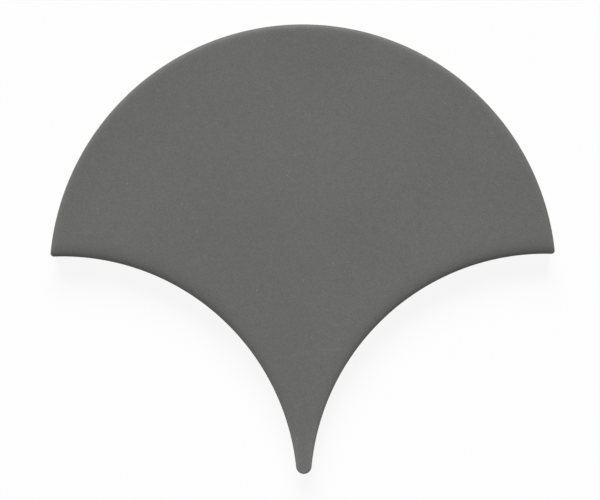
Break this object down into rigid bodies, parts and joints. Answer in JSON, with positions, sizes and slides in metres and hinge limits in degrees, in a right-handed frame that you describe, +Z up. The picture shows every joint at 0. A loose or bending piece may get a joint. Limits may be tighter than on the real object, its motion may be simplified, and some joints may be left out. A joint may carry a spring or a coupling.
{
  "type": "fan floor tile",
  "caption": "Fan-shaped matt dark grey ceramic floor tile with a round crown, two hollow flanks, a slim tail and softly rolled edges, keyed on the back.",
  "frame": {"origin": "middle of the plan box, on the plane of the back ribs that the tile rests on", "axes": "+X from horn to horn, +Y from the tail towards the crown, +Z up out of the glazed face"},
  "size_m": [0.12, 0.1068, 0.009],
  "materials": {
    "matt_glaze": "matte"
  },
  "bodies": {
    "root": {"fan_tile": "matt_glaze"}
  },
  "joints": []
}
